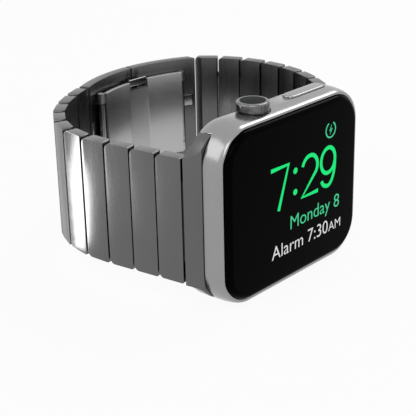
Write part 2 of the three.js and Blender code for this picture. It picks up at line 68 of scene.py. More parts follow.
MM = 0.001
VIEW_PLACE = Vector((-153.9, -130.0, 79.5))
VIEW_AZIMUTH = math.radians(-47.23)
VIEW_ELEVATION = math.radians(20.64)
VIEW_ROLL = math.radians(-1.22)
VIEW_LENS = 93.55
VIEW_SHIFT = -0.1

scene = bpy.context.scene
scene.view_settings.view_transform = "Standard"
back = Vector((
    math.sin(VIEW_AZIMUTH) * math.cos(VIEW_ELEVATION),
    -math.cos(VIEW_AZIMUTH) * math.cos(VIEW_ELEVATION),
    math.sin(VIEW_ELEVATION),
))
camera = bpy.data.objects.new("view", bpy.data.cameras.new("view"))
scene.collection.objects.link(camera)
camera.rotation_mode = "QUATERNION"
camera.rotation_quaternion = (
    (-back).to_track_quat("-Z", "Y") @ Quaternion((0, 0, 1), VIEW_ROLL)
)
camera.location = VIEW_PLACE * MM
camera.data.lens = VIEW_LENS
camera.data.shift_y = VIEW_SHIFT
camera.data.clip_start = 0.01
scene.camera = camera

# ---- Floor and light ------------------------------------------------------------------------
# A pale table under soft lamps. Metal and glass see the same white surroundings as the camera,
# and the table keeps the watch's shadow.

FLOOR_SIZE = 6.0
FLOOR_COLOUR = (0.8, 0.8, 0.8, 1)
FLOOR_GLOW = 0.93
ROOM_LIGHT = 0.38
LAMPS = (
    ("key", (-0.40, -0.30, 0.48), (0.42, 0.42), 1.2),
    ("top", (0.36, 0.02, 0.42), (0.22, 0.30), 1.0),
    ("side", (-0.46, 0.26, 0.34), (0.46, 0.46), 0.8),
)
CARD_FROM = (-0.0255, 0.0235)
CARD_HEADING = math.radians(122)
CARD_REACH = (0.012, 0.16)
CARD_COUNT = 6
CARD_SPREAD = 0.44
CARD_GLOW = 36


def link_nodes(tree, *pairs):
    for a, b in pairs:
        tree.links.new(a, b)


def seen_directly(tree):
    """One where a camera, glossy or transmission ray looks, and zero where light is gathered."""
    path = tree.nodes.new("ShaderNodeLightPath")
    most = path.outputs["Is Camera Ray"]
    for kind in ("Is Glossy Ray", "Is Transmission Ray"):
        larger = tree.nodes.new("ShaderNodeMath")
        larger.operation = "MAXIMUM"
        link_nodes(tree, (most, larger.inputs[0]), (path.outputs[kind], larger.inputs[1]))
        most = larger.outputs[0]
    return most


bpy.ops.object.select_all(action="DESELECT")
bpy.ops.mesh.primitive_plane_add(size=FLOOR_SIZE, location=(0, 0, cad_low.z))
floor = bpy.context.object
floor.name = "table_top"
table_paint = bpy.data.materials.new("table_paint")
table_paint.use_nodes = True
tree = table_paint.node_tree
paint = tree.nodes["Principled BSDF"]
paint.inputs["Base Color"].default_value = FLOOR_COLOUR
paint.inputs["Roughness"].default_value = 0.8
glow = tree.nodes.new("ShaderNodeEmission")
share = tree.nodes.new("ShaderNodeMath")
share.operation = "MULTIPLY"
share.inputs[1].default_value = FLOOR_GLOW
mixed = tree.nodes.new("ShaderNodeMixShader")
link_nodes(
    tree,
    (seen_directly(tree), share.inputs[0]),
    (share.outputs[0], mixed.inputs[0]),
    (paint.outputs[0], mixed.inputs[1]),
    (glow.outputs[0], mixed.inputs[2]),
    (mixed.outputs[0], tree.nodes["Material Output"].inputs["Surface"]),
)
floor.data.materials.append(table_paint)
floor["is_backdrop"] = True

scene.world = bpy.data.worlds.new("studio")
scene.world.use_nodes = True
tree = scene.world.node_tree
strength = tree.nodes.new("ShaderNodeMapRange")
strength.inputs["To Min"].default_value = ROOM_LIGHT
strength.inputs["To Max"].default_value = 1.0
tree.nodes["Background"].inputs["Color"].default_value = (1, 1, 1, 1)
link_nodes(
    tree,
    (seen_directly(tree), strength.inputs["Value"]),
    (strength.outputs["Result"], tree.nodes["Background"].inputs["Strength"]),
)

for name, place, size, power in LAMPS:
    lamp = bpy.data.objects.new(name, bpy.data.lights.new(name, "AREA"))
    lamp.data.shape = "RECTANGLE"
    lamp.data.size, lamp.data.size_y = size
    lamp.data.energy = power
    lamp.visible_camera = False
    lamp.location = place
    lamp.rotation_mode = "QUATERNION"
    lamp.rotation_quaternion = (-Vector(place)).to_track_quat("-Z", "Y")
    scene.collection.objects.link(lamp)

# A fan of light cards lies on the table beside the bracelet's bend, which mirrors it.
growth = (CARD_REACH[1] / CARD_REACH[0]) ** (1 / CARD_COUNT)
for i in range(CARD_COUNT):
    near = CARD_REACH[0] * growth ** i
    length, width = near * (growth - 1), near * (growth + 1) * CARD_SPREAD / 2
    card = bpy.data.objects.new("card", bpy.data.lights.new("card", "AREA"))
    card.data.shape = "RECTANGLE"
    card.data.size, card.data.size_y = length, width
    card.data.energy = CARD_GLOW * length * width
    card.visible_camera = False
    middle = near + length / 2
    card.location = (
        CARD_FROM[0] + middle * math.cos(CARD_HEADING),
        CARD_FROM[1] + middle * math.sin(CARD_HEADING),
        cad_low.z + 0.5 * MM,
    )
    card.rotation_euler = (math.pi, 0, CARD_HEADING)
    scene.collection.objects.link(card)

# ---- Case -----------------------------------------------------------------------------------
# A forged and machined stainless steel shell, mirror polished all over. Its wall is fullest a
# little behind the middle, and it is milled out for the glass, the crown, the button, the band
# slots and the speaker.

CASE_HALF_LENGTH = 21.25
CASE_HALF_WIDTH = 18.2
CASE_CORNER = 7.9
CASE_FRONT = -9.9
CASE_BACK = -1.6
CASE_FULLEST = -5.6
FRONT_ROUND = 0.9
BACK_ROUND = 2.0
ROUND_REACH = 0.97
LEDGE = -9.1
CAVITY = (17.1, 15.4, 7.0)
GLASS_OUTLINE = (19.95, 16.95, 6.6)
GLASS_FIT = 0.1
CONTROL_LINE = -5.6
OUTSIDE = 22
CROWN_X = -6.8
CROWN_RADIUS = 3.2
CROWN_CLEARANCE = 0.25
CROWN_FLOOR = 17.3
CROWN_BORE = 1.95
BUTTON_X = 8.7
BUTTON_LENGTH = 11.3
BUTTON_WIDTH = 2.9
BUTTON_CLEARANCE = 0.3
SPEAKER_PLACES = (-11, -5)
SPEAKER_SLOT = (4.6, 1.1)
MICROPHONE_X = 11.8
MICROPHONE_RADIUS = 0.55
SLOT_X = 18.3
SLOT_FRONT = -5.9
SLOT_BACK = -2.9
SLOT_HALF_LENGTH = 17.0
RELEASE_X = 18.2
RELEASE_OPENING = (0.85, 3.65)


@contextmanager
def on_bench(piece):
    """Edit mode on one piece, with nothing else selected."""
    bpy.ops.object.select_all(action="DESELECT")
    piece.select_set(True)
    bpy.context.view_layer.objects.active = piece
    bpy.ops.object.mode_set(mode="EDIT")
    yield
    bpy.ops.object.mode_set(mode="OBJECT")


def pick(piece, kind, wanted):
    """On the bench, selects only the faces, edges or corners that are wanted."""
    bpy.ops.mesh.select_mode(type=kind)
    bpy.ops.mesh.select_all(action="DESELECT")
    mesh = bmesh.from_edit_mesh(piece.data)
    for item in {"VERT": mesh.verts, "EDGE": mesh.edges, "FACE": mesh.faces}[kind]:
        if wanted(item):
            item.select_set(True)
    mesh.select_flush_mode()
    bmesh.update_edit_mesh(piece.data)


def runs_along(axis):
    """A test for edges that run along one axis, 0 to 2."""
    def test(edge):
        span = edge.verts[1].co - edge.verts[0].co
        return abs(span[axis]) > 0.999 * span.length
    return test


def lies_at(axis, height, slack=1e-3):
    """A test for edges or faces whose corners all lie at one height."""
    return lambda item: all(abs(v.co[axis] - height) < slack for v in item.verts)


def bevel(width, steps):
    bpy.ops.mesh.bevel(offset=width, segments=steps, profile=0.5, clamp_overlap=False)


def stretch(by, about):
    bpy.ops.transform.resize(value=by, center_override=about)


def slice_off(place, outward):
    """Cuts the whole piece by a plane, drops what is outside it and closes the cut."""
    bpy.ops.mesh.select_all(action="SELECT")
    bpy.ops.mesh.bisect(
        plane_co=place, plane_no=outward, use_fill=True, clear_outer=True, threshold=1e-5)


def block(name, low, high):
    """A block between two corners."""
    low, high = Vector(low), Vector(high)
    bpy.ops.object.select_all(action="DESELECT")
    bpy.ops.mesh.primitive_cube_add(size=1, location=(low + high) / 2)
    piece = bpy.context.object
    piece.name = name
    piece.scale = high - low
    bpy.ops.object.transform_apply(location=True, rotation=True, scale=True)
    return piece


def rounded_block(name, low, high, axis, corner, steps=12):
    """A block whose four edges along one axis are rounded."""
    piece = block(name, low, high)
    with on_bench(piece):
        pick(piece, "EDGE", runs_along(axis))
        bevel(corner, steps)
    return piece


def tablet(name, outline, front, rear, steps=16):
    """A rounded rectangle that stands across Y, given as half length, half width and corner."""
    half_length, half_width, corner = outline
    return rounded_block(
        name, (-half_length, front, -half_width), (half_length, rear, half_width),
        1, corner, steps)


def pill(name, centre, length, width, low, high, steps=12):
    """A round-ended bar whose outline lies across Z and whose length runs along X."""
    x, y = centre
    return rounded_block(
        name, (x - length / 2, y - width / 2, low), (x + length / 2, y + width / 2, high),
        2, width / 2 - 0.002, steps)


def rod(name, centre, radius, low, high, sides=48):
    """A round bar along Z."""
    bpy.ops.object.select_all(action="DESELECT")
    bpy.ops.mesh.primitive_cylinder_add(
        vertices=sides, radius=radius, depth=high - low,
        location=(centre[0], centre[1], (low + high) / 2))
    piece = bpy.context.object
    piece.name = name
    bpy.ops.object.transform_apply(location=True, rotation=True, scale=True)
    return piece


def apply_all(piece):
    bpy.ops.object.select_all(action="DESELECT")
    piece.select_set(True)
    bpy.context.view_layer.objects.active = piece
    for step in list(piece.modifiers):
        bpy.ops.object.modifier_apply(modifier=step.name)


def combine(piece, operation, others):
    for other in others:
        step = piece.modifiers.new(operation.lower(), "BOOLEAN")
        step.operation = operation
        step.solver = "EXACT"
        step.object = other
        apply_all(piece)
        bpy.data.objects.remove(other)
    return piece


def cut_away(piece, *others):
    return combine(piece, "DIFFERENCE", others)


def break_edges(piece, width, steps=2, angle=35):
    """Takes the sharpness off every edge that turns more than an angle."""
    step = piece.modifiers.new("broken_edges", "BEVEL")
    step.width = width
    step.segments = steps
    step.limit_method = "ANGLE"
    step.angle_limit = math.radians(angle)
    step.use_clamp_overlap = True
    step.miter_outer = "MITER_ARC"
    apply_all(piece)
    return piece


def settle(piece, at=(0, 0), turn=0.0, over=False):
    """Puts a finished piece in its place on the watch, in metres, and smooths its curves."""
    move = Matrix.Translation((at[0], at[1], 0)) @ Matrix.Rotation(turn, 4, "Z")
    if over:
        move = move @ Matrix.Rotation(math.pi, 4, "X")
    bpy.ops.object.select_all(action="DESELECT")
    piece.select_set(True)
    bpy.context.view_layer.objects.active = piece
    piece.matrix_world = Matrix.Scale(MM, 4) @ move
    bpy.ops.object.transform_apply(location=True, rotation=True, scale=True)
    bpy.ops.object.shade_smooth_by_angle(angle=math.radians(32))
    return piece


def marks_group():
    """Fine grain and broad clouding over a surface, both from 0 to 1, read in metres."""
    group = bpy.data.node_groups.new("surface_marks", "ShaderNodeTree")
    face = group.interface
    for name, kind in (
        ("Grain Stretch", "NodeSocketVector"),
        ("Grain Scale", "NodeSocketFloat"),
        ("Cloud Scale", "NodeSocketFloat"),
    ):
        face.new_socket(name, in_out="INPUT", socket_type=kind)
    for name in ("Grain", "Cloud"):
        face.new_socket(name, in_out="OUTPUT", socket_type="NodeSocketFloat")
    entry = group.nodes.new("NodeGroupInput")
    leave = group.nodes.new("NodeGroupOutput")
    place = group.nodes.new("ShaderNodeTexCoord")
    drawn = group.nodes.new("ShaderNodeVectorMath")
    drawn.operation = "MULTIPLY"
    grain = group.nodes.new("ShaderNodeTexNoise")
    grain.inputs["Detail"].default_value = 4
    cloud = group.nodes.new("ShaderNodeTexNoise")
    cloud.inputs["Detail"].default_value = 2
    link_nodes(
        group,
        (place.outputs["Object"], drawn.inputs[0]),
        (entry.outputs["Grain Stretch"], drawn.inputs[1]),
        (drawn.outputs[0], grain.inputs["Vector"]),
        (entry.outputs["Grain Scale"], grain.inputs["Scale"]),
        (place.outputs["Object"], cloud.inputs["Vector"]),
        (entry.outputs["Cloud Scale"], cloud.inputs["Scale"]),
        (grain.outputs["Fac"], leave.inputs["Grain"]),
        (cloud.outputs["Fac"], leave.inputs["Cloud"]),
    )
    return group


marks = marks_group()


def finish(name, dark, light, roughness, stretch_by=(1, 1, 1), grain=2500, cloud=90,
           relief=0.0, **fixed):
    """A surface between two tones and two roughnesses, with grain cut into it that deep, in
    millimetres. What is the same all over is set on the shader itself."""
    material = bpy.data.materials.new(name)
    material.use_nodes = True
    tree = material.node_tree
    shader = tree.nodes["Principled BSDF"]
    seen = tree.nodes.new("ShaderNodeGroup")
    seen.node_tree = marks
    seen.inputs["Grain Stretch"].default_value = stretch_by
    seen.inputs["Grain Scale"].default_value = grain
    seen.inputs["Cloud Scale"].default_value = cloud
    tone = tree.nodes.new("ShaderNodeMath")
    tone.operation = "MULTIPLY_ADD"
    tone.inputs[1].default_value = 0.5
    half = tree.nodes.new("ShaderNodeMath")
    half.operation = "MULTIPLY"
    half.inputs[1].default_value = 0.5
    colour = tree.nodes.new("ShaderNodeMix")
    colour.data_type = "RGBA"
    colour.inputs[6].default_value = (*dark, 1)
    colour.inputs[7].default_value = (*light, 1)
    gloss = tree.nodes.new("ShaderNodeMapRange")
    gloss.inputs["From Min"].default_value = 0.3
    gloss.inputs["From Max"].default_value = 0.7
    gloss.inputs["To Min"].default_value = roughness[0]
    gloss.inputs["To Max"].default_value = roughness[1]
    link_nodes(
        tree,
        (seen.outputs["Cloud"], half.inputs[0]),
        (seen.outputs["Grain"], tone.inputs[0]),
        (half.outputs[0], tone.inputs[2]),
        (tone.outputs[0], colour.inputs[0]),
        (colour.outputs[2], shader.inputs["Base Color"]),
        (tone.outputs[0], gloss.inputs["Value"]),
        (gloss.outputs["Result"], shader.inputs["Roughness"]),
    )
    if relief:
        bump = tree.nodes.new("ShaderNodeBump")
        bump.inputs["Distance"].default_value = relief * MM
        link_nodes(
            tree,
            (seen.outputs["Grain"], bump.inputs["Height"]),
            (bump.outputs[0], shader.inputs["Normal"]),
        )
    for socket, value in fixed.items():
        shader.inputs[socket.replace("_", " ")].default_value = value
    return material


def fit(piece, material, body, slot, *nodes):
    """Gives a piece its finish and its body, and lets it stand for its CAD nodes."""
    piece.data.materials.clear()
    piece.data.materials.append(material)
    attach(piece, body)
    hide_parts(*nodes)


case = tablet(
    "case", (CASE_HALF_LENGTH, CASE_HALF_WIDTH, CASE_CORNER),
    CASE_FULLEST - FRONT_ROUND - 0.01, CASE_FULLEST + BACK_ROUND + 0.01, 20)
with on_bench(case):
    pick(case, "EDGE", lies_at(1, CASE_FULLEST - FRONT_ROUND - 0.01))
    bevel(FRONT_ROUND, 20)
    pick(case, "EDGE", lies_at(1, CASE_FULLEST + BACK_ROUND + 0.01))
    bevel(BACK_ROUND, 20)
    for side, reach, end in ((-1, FRONT_ROUND, CASE_FRONT), (1, BACK_ROUND, CASE_BACK)):
        pick(case, "VERT", lambda v: side * (v.co.y - CASE_FULLEST) > 0.005)
        depth = abs(end - CASE_FULLEST) / ROUND_REACH
        stretch((1, depth / reach, 1), (0, CASE_FULLEST, 0))
        slice_off((0, end, 0), (0, side, 0))
half_length, half_width, corner = GLASS_OUTLINE
cut_away(
    case,
    tablet("cavity", CAVITY, LEDGE - 2, CASE_BACK + 1),
    tablet("glass_seat", (half_length + GLASS_FIT, half_width + GLASS_FIT, corner + GLASS_FIT),
           CASE_FRONT - 1, LEDGE, 20),
    rod("crown_recess", (CROWN_X, CONTROL_LINE), CROWN_RADIUS + CROWN_CLEARANCE,
        CROWN_FLOOR, OUTSIDE, 96),
    rod("crown_bore", (CROWN_X, CONTROL_LINE), CROWN_BORE, 14, OUTSIDE),
    pill("button_recess", (BUTTON_X, CONTROL_LINE), BUTTON_LENGTH + BUTTON_CLEARANCE,
         BUTTON_WIDTH + BUTTON_CLEARANCE, 14, OUTSIDE),
    *(pill("speaker_slot", (x, CONTROL_LINE), *SPEAKER_SLOT, -20, -14) for x in SPEAKER_PLACES),
    rod("microphone_hole", (MICROPHONE_X, CONTROL_LINE), MICROPHONE_RADIUS, -20, -13.5),
)
for side in (-1, 1):
    inner, outer = sorted((SLOT_X * side, 25 * side))
    slot = rounded_block(
        "band_slot", (inner, SLOT_FRONT, -SLOT_HALF_LENGTH), (outer, SLOT_BACK, SLOT_HALF_LENGTH),
        0, (SLOT_BACK - SLOT_FRONT) / 2 - 0.01)
    x, (half, reach) = RELEASE_X * side, RELEASE_OPENING
    release = rounded_block(
        "release_slot", (x - half, -4.5, -reach), (x + half, 0, reach), 1, half - 0.01)
    cut_away(case, slot, release)
break_edges(case, 0.07)
# The steel's grey is set well below bare steel's. The darkening is painted shade, standing in for
# darker surroundings in its reflections.
polished_steel_painted_shade = finish(
    "polished_steel_painted_shade", (0.27, 0.27, 0.274), (0.34, 0.34, 0.34), (0.17, 0.27),
    grain=1800, cloud=110, relief=0.0006, Metallic=1.0)
settle(case)
fit(case, polished_steel_painted_shade, "case", "case", "case_housing")

# ---- Cover glass ----------------------------------------------------------------------------
# Ion-strengthened glass, black printed behind, with its rim ground to a soft quarter round. It
# is bonded on a thin seal.

GLASS_TOP = -10.9
GLASS_UNDER = LEDGE - 0.3
GLASS_ROUND = 1.3

glass = tablet("cover_glass_ground", GLASS_OUTLINE, GLASS_TOP, GLASS_UNDER, 20)
with on_bench(glass):
    pick(glass, "EDGE", lies_at(1, GLASS_TOP))
    bevel(GLASS_ROUND, 16)
    pick(glass, "EDGE", lies_at(1, GLASS_UNDER))
    bevel(0.15, 3)
black_glass = finish(
    "black_glass", (0.0004, 0.0004, 0.0005), (0.0008, 0.0008, 0.001), (0.02, 0.06),
    grain=600, cloud=45, IOR=1.1, Specular_IOR_Level=0.25)
settle(glass)
fit(glass, black_glass, "case", "glass", "cover_glass")

# ---- Display marks --------------------------------------------------------------------------
# What the lit screen shows: the time in thin green strokes, the day, an alarm time, and a small
# charging ring. Each lies on the glass as a film a few hundredths of a millimetre thick.

FILM = 0.03
TIME_STROKE = 0.44
RING_STROKE = 0.17
LIT_GREEN = (0.012, 0.85, 0.21)
LIT_MINT = (0.07, 0.66, 0.31)
LIT_WHITE = (0.78, 0.78, 0.78)


def light_film(name, colour, glow):
    """A lit film whose glow is a little uneven."""
    unlit = tuple(0.06 * c for c in colour)
    material = finish(name, unlit, unlit, (0.4, 0.5), grain=900, cloud=300, IOR=1.1)
    shader = material.node_tree.nodes["Principled BSDF"]
    lit = material.node_tree.nodes.new("ShaderNodeMix")
    lit.data_type = "RGBA"
    lit.inputs[6].default_value = tuple(0.93 * c for c in colour) + (1,)
    lit.inputs[7].default_value = (*colour, 1)
    link_nodes(
        material.node_tree,
        (material.node_tree.nodes["Group"].outputs["Cloud"], lit.inputs[0]),
        (lit.outputs[2], shader.inputs["Emission Color"]),
    )
    shader.inputs["Emission Strength"].default_value = glow
    return material


def stroke(points, radius, closed=False):
    """A pen stroke through points of (x, z), pressed flat on the glass."""
    curve = bpy.data.curves.new("stroke", "CURVE")
    curve.dimensions = "3D"
    curve.bevel_depth = radius
    curve.bevel_resolution = 3
    curve.use_fill_caps = True
    line = curve.splines.new("POLY")
    line.points.add(len(points) - 1)
    for point, (x, z) in zip(line.points, points):
        point.co = (x, 0, z, 1)
    line.use_cyclic_u = closed
    piece = bpy.data.objects.new("stroke", curve)
    scene.collection.objects.link(piece)
    return piece


def arc(centre, radii, start, end, steps=24):
    """Points round part of an ellipse, from one heading to another in degrees."""
    turns = [math.radians(start + (end - start) * i / steps) for i in range(steps + 1)]
    return [(centre[0] + radii[0] * math.cos(t), centre[1] + radii[1] * math.sin(t))
            for t in turns]


def join_flat(name, strokes, thickness):
    """Joins strokes into one mesh, flattened to a film on the glass."""
    bpy.ops.object.select_all(action="DESELECT")
    for piece in strokes:
        piece.select_set(True)
    bpy.context.view_layer.objects.active = strokes[0]
    bpy.ops.object.convert(target="MESH")
    bpy.ops.object.join()
    piece = bpy.context.object
    piece.name = name
    low = min(v.co.y for v in piece.data.vertices)
    high = max(v.co.y for v in piece.data.vertices)
    piece.scale = (1, thickness / (high - low), 1)
    piece.location = (0, GLASS_TOP - thickness / 2 + 0.004, 0)
    bpy.ops.object.transform_apply(location=True, rotation=True, scale=True)
    return piece


def words(name, text, size, left, right, base):
    """A line of plain lettering that fills the width between left and right."""
    letters = bpy.data.curves.new(name, "FONT")
    letters.body = text
    letters.size = size
    letters.extrude = 0.5
    letters.offset = -0.022
    piece = bpy.data.objects.new(name, letters)
    scene.collection.objects.link(piece)
    bpy.ops.object.select_all(action="DESELECT")
    piece.select_set(True)
    bpy.context.view_layer.objects.active = piece
    bpy.ops.object.convert(target="MESH")
    piece = bpy.context.object
    low = min(v.co.x for v in piece.data.vertices)
    high = max(v.co.x for v in piece.data.vertices)
    widen = (right - left) / (high - low)
    piece.data.transform(Matrix.Translation((-low, 0, 0)))
    piece.data.transform(Matrix.Diagonal((widen, widen, 1, 1)))
    piece.data.transform(Matrix.Translation((left, 0, 0)))
    piece.data.transform(Matrix.Rotation(math.pi / 2, 4, "X"))
    piece.data.transform(Matrix.Translation((0, 0, base)))
    return piece


seven = stroke([(-7.9, 7.3), (-2.6, 7.3), (-5.6, -1.4)], TIME_STROKE)
two = stroke(
    arc((4.1, 4.8), (2.4, 2.4), 165, -35) + [(1.6, -0.9), (6.8, -0.9)], TIME_STROKE)
nine_loop = stroke(arc((10.0, 4.5), (2.3, 2.65), 0, 360, 40)[:-1], TIME_STROKE, closed=True)
nine_tail = stroke(
    arc((10.0, 4.0), (2.3, 4.9), 0, -90) + arc((10.0, 1.1), (2.1, 2.0), -90, -165),
    TIME_STROKE)
dots = [stroke(arc((-0.5, z), (0.3, 0.3), 0, 360, 12)[:-1], 0.36, closed=True)
        for z in (5.35, 0.95)]
time_marks = join_flat("time_digits", [seven, two, nine_loop, nine_tail, *dots], FILM)
day_marks = join_flat("day_words", [words("day", "Monday 8", 3.4, -1.9, 14.0, -6.5)], FILM)
alarm_marks = join_flat(
    "alarm_words",
    [words("alarm", "Alarm 7:30", 3.4, -7.6, 10.3, -11.2),
     words("half_day", "AM", 2.6, 10.6, 14.6, -11.2)], FILM)
ring = stroke(arc((10.7, 10.7), (1.55, 1.55), 60, -245, 40), RING_STROKE)
bolt = stroke(
    [(10.95, 11.65), (10.25, 10.6), (10.75, 10.65), (10.5, 9.8), (11.2, 10.85), (10.7, 10.8)],
    0.16, closed=True)
ring_marks = join_flat("charging_ring", [ring, bolt], FILM)
for piece, colour, glow in (
    (time_marks, LIT_GREEN, 0.95),
    (day_marks, LIT_MINT, 0.9),
    (ring_marks, LIT_MINT, 0.9),
    (alarm_marks, LIT_WHITE, 0.9),
):
    settle(piece)
    fit(piece, light_film(piece.name + "_light", colour, glow), "case", "display")

# ---- Back cover and back crystal --------------------------------------------------------------
# A black ceramic plate closes the back, and a domed sapphire disc in it looks through four
# small sensor windows at the wrist.

BACK_RIM = (CAVITY[0] - 0.15, CAVITY[1] - 0.15, CAVITY[2] - 0.15)
BACK_SKIN = -0.8
CRYSTAL_RADIUS = 12.5
CRYSTAL_SEAT = 12.75
CRYSTAL_DOME = ((0.2, 0.29), (0.6, 0.26), (1.1, 0.26), (1.4, 0.2), (1.6, 0.12), (1.7, 0.07))
SENSOR_CIRCLE = 3.6
SENSOR_RADIUS = 2.3


def face_back(piece):
    """Turns a piece made along Z so that its top faces +Y, away from the screen."""
    piece.rotation_euler = (-math.pi / 2, 0, 0)
    bpy.ops.object.select_all(action="DESELECT")
    piece.select_set(True)
    bpy.context.view_layer.objects.active = piece
    bpy.ops.object.transform_apply(location=True, rotation=True, scale=True)
    return piece


back_cover = tablet("back_plate", BACK_RIM, -2.6, BACK_SKIN)
with on_bench(back_cover):
    pick(back_cover, "EDGE", lies_at(1, BACK_SKIN))
    bevel(1.05, 8)
cut_away(back_cover, face_back(rod("crystal_seat", (0, 0), CRYSTAL_SEAT, -4, 1, 96)))
break_edges(back_cover, 0.06)
black_ceramic = finish(
    "black_ceramic", (0.018, 0.018, 0.02), (0.03, 0.03, 0.032), (0.16, 0.26),
    grain=1500, cloud=80, relief=0.0005)
settle(back_cover)
fit(back_cover, black_ceramic, "case", "back", "back_cover")

crystal = rod("back_crystal_dome", (0, 0), CRYSTAL_RADIUS, -1.8, -0.95, 96)
with on_bench(crystal):
    pick(crystal, "FACE", lies_at(2, -0.95))
    for draw_in, rise in CRYSTAL_DOME:
        bpy.ops.mesh.extrude_region_move()
        bpy.ops.transform.translate(value=(0, 0, rise * 0.75))
        mesh = bmesh.from_edit_mesh(crystal.data)
        radius = max(v.co.xy.length for v in mesh.verts if v.select)
        shrink = (radius - draw_in) / radius
        stretch((shrink, shrink, 1), (0, 0, 0))
    pick(crystal, "EDGE", lies_at(2, -1.8))
    bevel(0.2, 3)
top = max(v.co.z for v in crystal.data.vertices)
crystal.data.transform(Matrix.Translation((0, 0, -top)))
face_back(crystal)
sapphire = finish(
    "dark_sapphire", (0.006, 0.006, 0.008), (0.014, 0.014, 0.018), (0.02, 0.05),
    grain=500, cloud=60, IOR=1.77)
settle(crystal)
fit(crystal, sapphire, "case", "crystal", "back_crystal")

window_tint = finish(
    "window_tint", (0.02, 0.03, 0.025), (0.05, 0.065, 0.05), (0.08, 0.2), grain=900, cloud=400)
for i in range(4):
    turn = math.pi / 4 + i * math.pi / 2
    window = rod(f"sensor_window_{i + 1}",
                 (SENSOR_CIRCLE * math.cos(turn), SENSOR_CIRCLE * math.sin(turn)),
                 SENSOR_RADIUS, -0.1, 0.0, 48)
    with on_bench(window):
        pick(window, "EDGE", lies_at(2, 0.0))
        bevel(0.03, 2)
        pick(window, "FACE", lies_at(2, 0.0))
        bpy.ops.mesh.inset(thickness=0.25, depth=-0.02)
    face_back(window)
    window.data.transform(Matrix.Translation((0, 0.015, 0)))
    settle(window)
    fit(window, window_tint, "case", "crystal")

# ---- Crown ----------------------------------------------------------------------------------
# A turned steel knob, knurled round its side and polished on its rim, with a dark disc set flush
# in its top. It turns and presses on the shaft behind it.

CROWN_SKIRT = 17.9
CROWN_TOP = 20.0
CROWN_RIM = 0.42
DISC_RADIUS = 2.42
DISC_SINK = 0.02
KNURLS = 60

crown = rod("crown_knob", (CROWN_X, CONTROL_LINE), CROWN_RADIUS, CROWN_SKIRT, CROWN_TOP,
            KNURLS * 2)


def from_crown_axis(point):
    return math.hypot(point.x - CROWN_X, point.y - CONTROL_LINE)


with on_bench(crown):
    pick(crown, "FACE", lies_at(2, CROWN_TOP))
    bpy.ops.mesh.inset(thickness=CROWN_RADIUS - DISC_RADIUS - 0.08)
    bpy.ops.mesh.extrude_region_move()
    bpy.ops.transform.translate(value=(0, 0, -0.35))
    pick(crown, "EDGE", lambda e: lies_at(2, CROWN_TOP)(e)
         and all(from_crown_axis(v.co) > CROWN_RADIUS - 0.01 for v in e.verts))
    bevel(CROWN_RIM, 6)
    pick(crown, "EDGE", lies_at(2, CROWN_SKIRT))
    bevel(0.2, 3)
    bpy.ops.mesh.select_mode(type="FACE")
    bpy.ops.mesh.select_all(action="DESELECT")
    mesh = bmesh.from_edit_mesh(crown.data)
    for side in mesh.faces:
        middle = side.calc_center_median()
        if from_crown_axis(middle) > CROWN_RADIUS - 0.02 and abs(side.normal.z) < 0.01:
            turn = math.atan2(middle.y - CONTROL_LINE, middle.x - CROWN_X) / math.tau
            if round(turn * KNURLS * 2 - 0.5) % 2:
                side.select_set(True)
    bmesh.update_edit_mesh(crown.data)
    bpy.ops.mesh.inset(thickness=0.025, depth=-0.11, use_individual=True)
cut_away(crown, rod("shaft_bore", (CROWN_X, CONTROL_LINE), 1.1, CROWN_SKIRT - 1, 19.1))
# The crown's steel is toned darker than the case's. This is painted shade for its dark knurled
# side.
knurled_steel_painted_shade = finish(
    "knurled_steel_painted_shade", (0.13, 0.13, 0.132), (0.20, 0.20, 0.202), (0.16, 0.28),
    grain=3000, cloud=200, relief=0.001, Metallic=1.0)
settle(crown)
fit(crown, knurled_steel_painted_shade, "crown", "polished", "crown_cap")

disc_top = CROWN_TOP - DISC_SINK
disc = rod("crown_cap_disc", (CROWN_X, CONTROL_LINE), DISC_RADIUS, CROWN_TOP - 0.3, disc_top, 64)
with on_bench(disc):
    pick(disc, "EDGE", lies_at(2, disc_top))
    bevel(0.08, 3)
dark_disc = finish(
    "dark_disc", (0.012, 0.013, 0.013), (0.02, 0.021, 0.021), (0.5, 0.65),
    grain=2500, cloud=300, relief=0.0008, IOR=1.2, Specular_IOR_Level=0.2)
settle(disc)
fit(disc, dark_disc, "crown", "crown_end", "crown_disc")

# ---- Side button ----------------------------------------------------------------------------
# A long polished pill that stands a little proud of its recess, its top edge rounded.

BUTTON_TOP = 18.5
BUTTON_BASE = 16.6
STEM_HALF = (1, 0.8)
STEM_BASE = 15.0


def weld_on(piece, *others):
    return combine(piece, "UNION", others)


button = pill("side_button_cap", (BUTTON_X, CONTROL_LINE), BUTTON_LENGTH, BUTTON_WIDTH,
              BUTTON_BASE, BUTTON_TOP, 16)
with on_bench(button):
    pick(button, "EDGE", lies_at(2, BUTTON_TOP))
    bevel(0.3, 6)
half_x, half_y = STEM_HALF
weld_on(button, block("button_stem", (BUTTON_X - half_x, CONTROL_LINE - half_y, STEM_BASE),
                      (BUTTON_X + half_x, CONTROL_LINE + half_y, BUTTON_BASE + 0.2)))
settle(button)
fit(button, polished_steel_painted_shade, "side_button", "polished", "side_button")

# ---- Lugs -----------------------------------------------------------------------------------
# Steel end pieces that slide into the case's band slots. Each flares in an S from the band's
# width to the slot's, and holds the first pin of the bracelet.

LUG_HEADING = {"left": 108, "right": 124}
LUG_PIVOT = Vector((-22.5, -2.7))
LUG_TIP = 16.3
BAND_HALF_WIDTH = 12.5
BAND_HALF_THICKNESS = 1.2
SEAM = 0.15
SEAM_RELIEF = 0.4
EYE_RADIUS = 0.8
EYE_HALF_LENGTH = 7.9
BORE_RADIUS = 0.62
POCKET_RADIUS = 1.0
PIN_RADIUS = 0.45
PIN_HALF_LENGTH = 8.7


def towards(degrees):
    return Vector((math.cos(math.radians(degrees)), math.sin(math.radians(degrees))))


